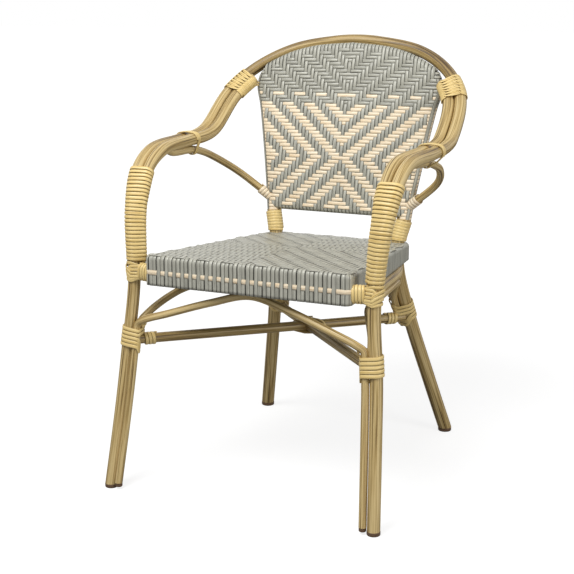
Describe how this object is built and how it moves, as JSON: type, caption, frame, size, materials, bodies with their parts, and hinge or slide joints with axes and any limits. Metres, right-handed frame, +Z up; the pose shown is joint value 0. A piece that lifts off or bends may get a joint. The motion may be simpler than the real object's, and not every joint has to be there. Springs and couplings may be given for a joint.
{
  "type": "armchair",
  "caption": "Bistro armchair of bent tubes finished like rattan, lashed with flat cane, with a woven seat and a rounded woven back.",
  "frame": {"origin": "centre of the bounding box, at the floor", "axes": "+Z up, +Y to the back of the chair, +X to the right of someone who looks at its front"},
  "size_m": [0.5982, 0.6345, 0.8821],
  "materials": {
    "painted_tube": "satin, printed like pale rattan with brown streaks",
    "cane_strand": "flat honey-coloured strand, satin",
    "grey_weave": "flat grey-green strands woven in twill, satin",
    "bare_tube": "mill finish, hidden by the weave",
    "foot_plastic": "moulded, dark brown"
  },
  "bodies": {
    "root": {"arm_brace_left": "painted_tube", "arm_brace_right": "painted_tube", "arm_tube_left": "painted_tube", "arm_tube_right": "painted_tube", "arm_wrap_left": "cane_strand", "arm_wrap_right": "cane_strand", "back_arch": "painted_tube", "back_bottom_rail": "bare_tube", "back_hoop": "bare_tube", "back_weave": "grey_weave", "brace_foot_left": "foot_plastic", "brace_foot_right": "foot_plastic", "collar_front_left": "cane_strand", "collar_front_right": "cane_strand", "collar_rear_left": "cane_strand", "collar_rear_right": "cane_strand", "cross_lashing": "cane_strand", "front_brace": "painted_tube", "front_foot_left": "foot_plastic", "front_foot_right": "foot_plastic", "front_lashing_left": "cane_strand", "front_lashing_right": "cane_strand", "inner_arm_tube_left": "painted_tube", "inner_arm_tube_right": "painted_tube", "mid_arm_lashing_left": "cane_strand", "mid_arm_lashing_right": "cane_strand", "post_wrap_left": "cane_strand", "post_wrap_right": "cane_strand", "rear_brace": "painted_tube", "rear_foot_left": "foot_plastic", "rear_foot_right": "foot_plastic", "rear_lashing_left": "cane_strand", "rear_lashing_right": "cane_strand", "rear_leg_left": "painted_tube", "rear_leg_right": "painted_tube", "seat_corner_lashing_left": "cane_strand", "seat_corner_lashing_right": "cane_strand", "seat_cross_bar_1": "bare_tube", "seat_cross_bar_2": "bare_tube", "seat_rail_front": "bare_tube", "seat_rail_left": "bare_tube", "seat_rail_rear": "bare_tube", "seat_rail_right": "bare_tube", "seat_weave": "grey_weave", "side_brace_left": "painted_tube", "side_brace_right": "painted_tube", "side_rail_left": "painted_tube", "side_rail_right": "painted_tube", "stretcher_front_half": "painted_tube", "stretcher_long": "painted_tube", "stretcher_rear_half": "painted_tube", "top_lashing_left": "cane_strand", "top_lashing_right": "cane_strand"}
  },
  "joints": []
}
